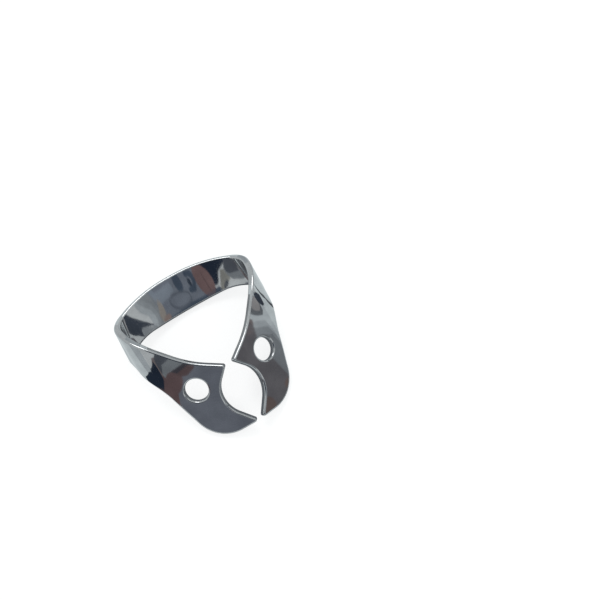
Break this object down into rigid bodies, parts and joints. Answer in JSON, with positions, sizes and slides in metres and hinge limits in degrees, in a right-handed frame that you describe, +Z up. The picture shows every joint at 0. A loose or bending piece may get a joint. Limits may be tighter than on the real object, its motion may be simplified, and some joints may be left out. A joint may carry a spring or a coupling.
{
  "type": "rubber dam clamp",
  "caption": "Wingless dental dam clamp of folded spring steel sheet: an arched bow, two swept arms and two jaws with forceps holes and round bites between pointed prongs.",
  "frame": {"origin": "centre of the bounding box's base, on the surface that the clamp lies on", "axes": "+X across the clamp from one jaw to the other, +Y from the jaws to the bow, +Z up, with the clamp lying upside down on the crown of its bow and the front lobes of its jaws"},
  "size_m": [0.02, 0.0228, 0.0065],
  "materials": {
    "spring_steel": "bright tumbled stainless spring steel"
  },
  "bodies": {
    "root": {"clamp": "spring_steel"}
  },
  "joints": []
}
